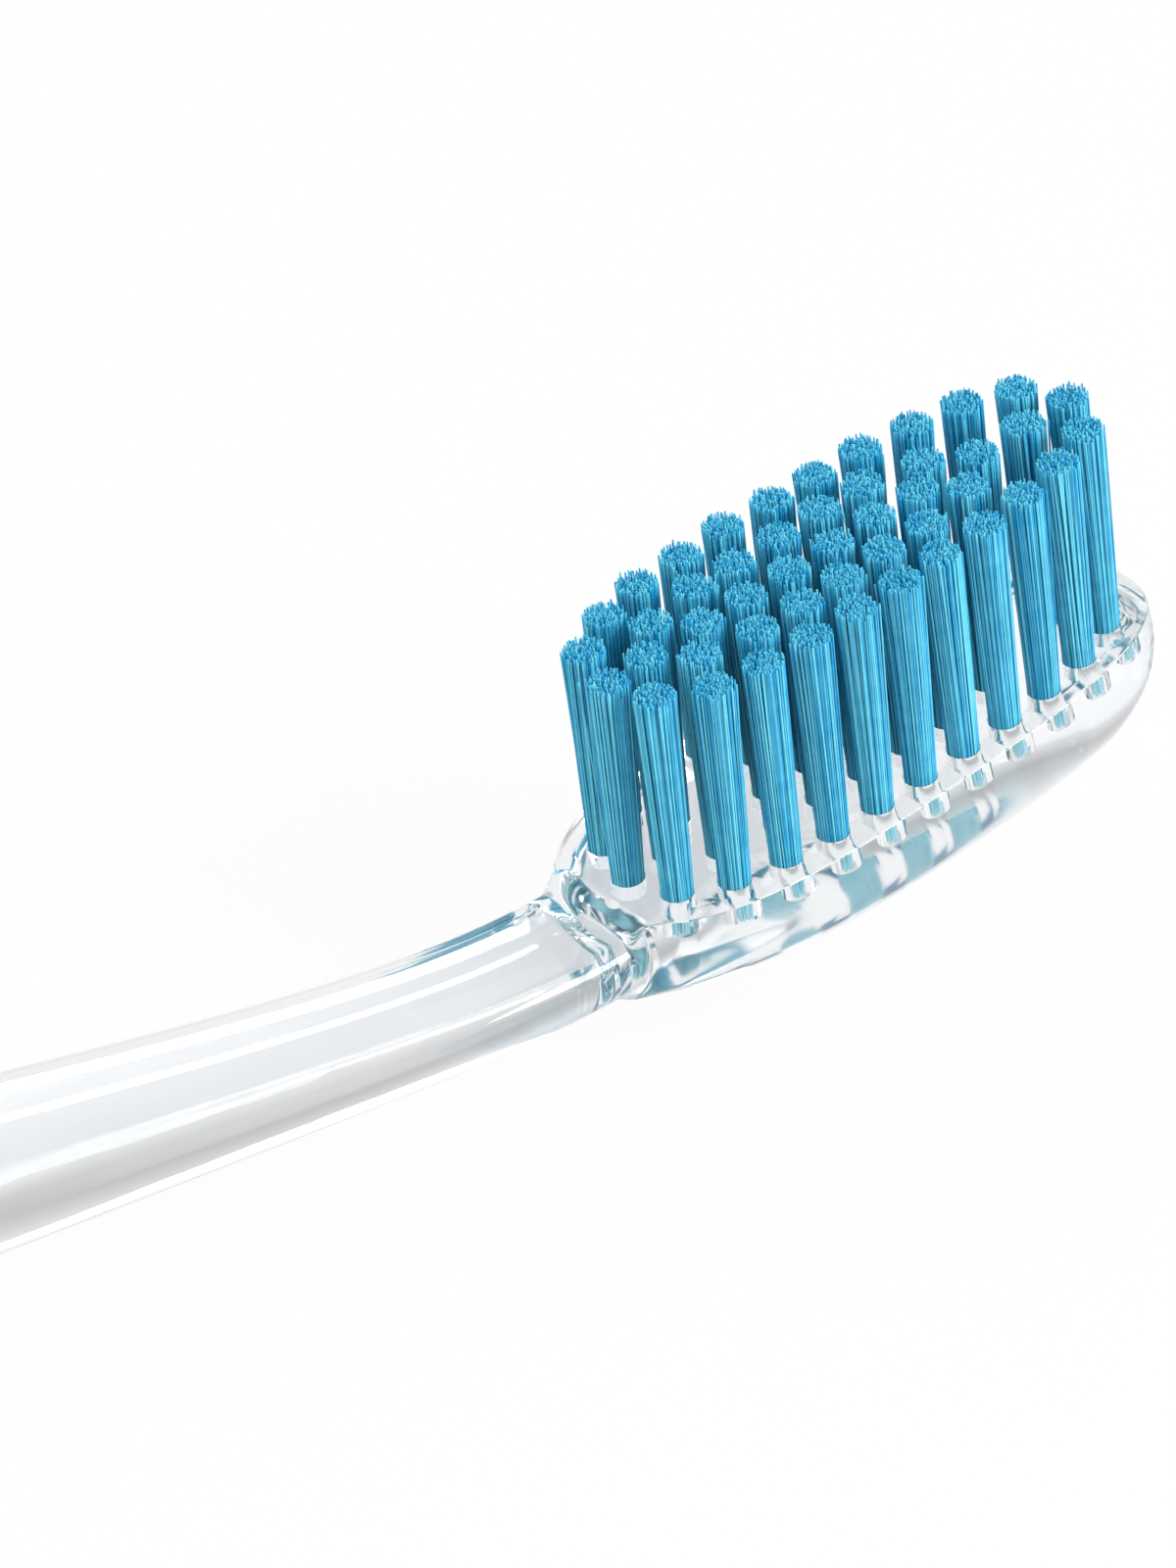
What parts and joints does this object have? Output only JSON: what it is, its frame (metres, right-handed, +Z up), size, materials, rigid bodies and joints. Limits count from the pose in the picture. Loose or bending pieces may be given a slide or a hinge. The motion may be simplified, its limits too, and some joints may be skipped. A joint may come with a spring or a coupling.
{
  "type": "manual toothbrush",
  "caption": "Manual toothbrush: a clear one-piece handle with a tilted oval head, and upright blue bristle tufts held in shallow sockets in its face.",
  "frame": {"origin": "under the middle of the brush's length, on the plane that the grip's flat underside rests on", "axes": "+X along the grip towards the nose of the head, +Y to the left as seen from the butt, +Z up, the way the bristles stand"},
  "size_m": [0.19, 0.013, 0.0252],
  "materials": {
    "clear_body": "polished, water-clear",
    "bristle": "satin nylon filament"
  },
  "bodies": {
    "root": {"handle": "clear_body", "tuft_centre_01": "bristle", "tuft_centre_02": "bristle", "tuft_centre_03": "bristle", "tuft_centre_04": "bristle", "tuft_centre_05": "bristle", "tuft_centre_06": "bristle", "tuft_centre_07": "bristle", "tuft_centre_08": "bristle", "tuft_centre_09": "bristle", "tuft_centre_10": "bristle", "tuft_centre_11": "bristle", "tuft_inner_left_01": "bristle", "tuft_inner_left_02": "bristle", "tuft_inner_left_03": "bristle", "tuft_inner_left_04": "bristle", "tuft_inner_left_05": "bristle", "tuft_inner_left_06": "bristle", "tuft_inner_left_07": "bristle", "tuft_inner_right_01": "bristle", "tuft_inner_right_02": "bristle", "tuft_inner_right_03": "bristle", "tuft_inner_right_04": "bristle", "tuft_inner_right_05": "bristle", "tuft_inner_right_06": "bristle", "tuft_inner_right_07": "bristle", "tuft_outer_left_01": "bristle", "tuft_outer_left_02": "bristle", "tuft_outer_left_03": "bristle", "tuft_outer_left_04": "bristle", "tuft_outer_left_05": "bristle", "tuft_outer_left_06": "bristle", "tuft_outer_left_07": "bristle", "tuft_outer_left_08": "bristle", "tuft_outer_left_09": "bristle", "tuft_outer_left_10": "bristle", "tuft_outer_left_11": "bristle", "tuft_outer_right_01": "bristle", "tuft_outer_right_02": "bristle", "tuft_outer_right_03": "bristle", "tuft_outer_right_04": "bristle", "tuft_outer_right_05": "bristle", "tuft_outer_right_06": "bristle", "tuft_outer_right_07": "bristle", "tuft_outer_right_08": "bristle", "tuft_outer_right_09": "bristle", "tuft_outer_right_10": "bristle", "tuft_outer_right_11": "bristle"}
  },
  "joints": []
}
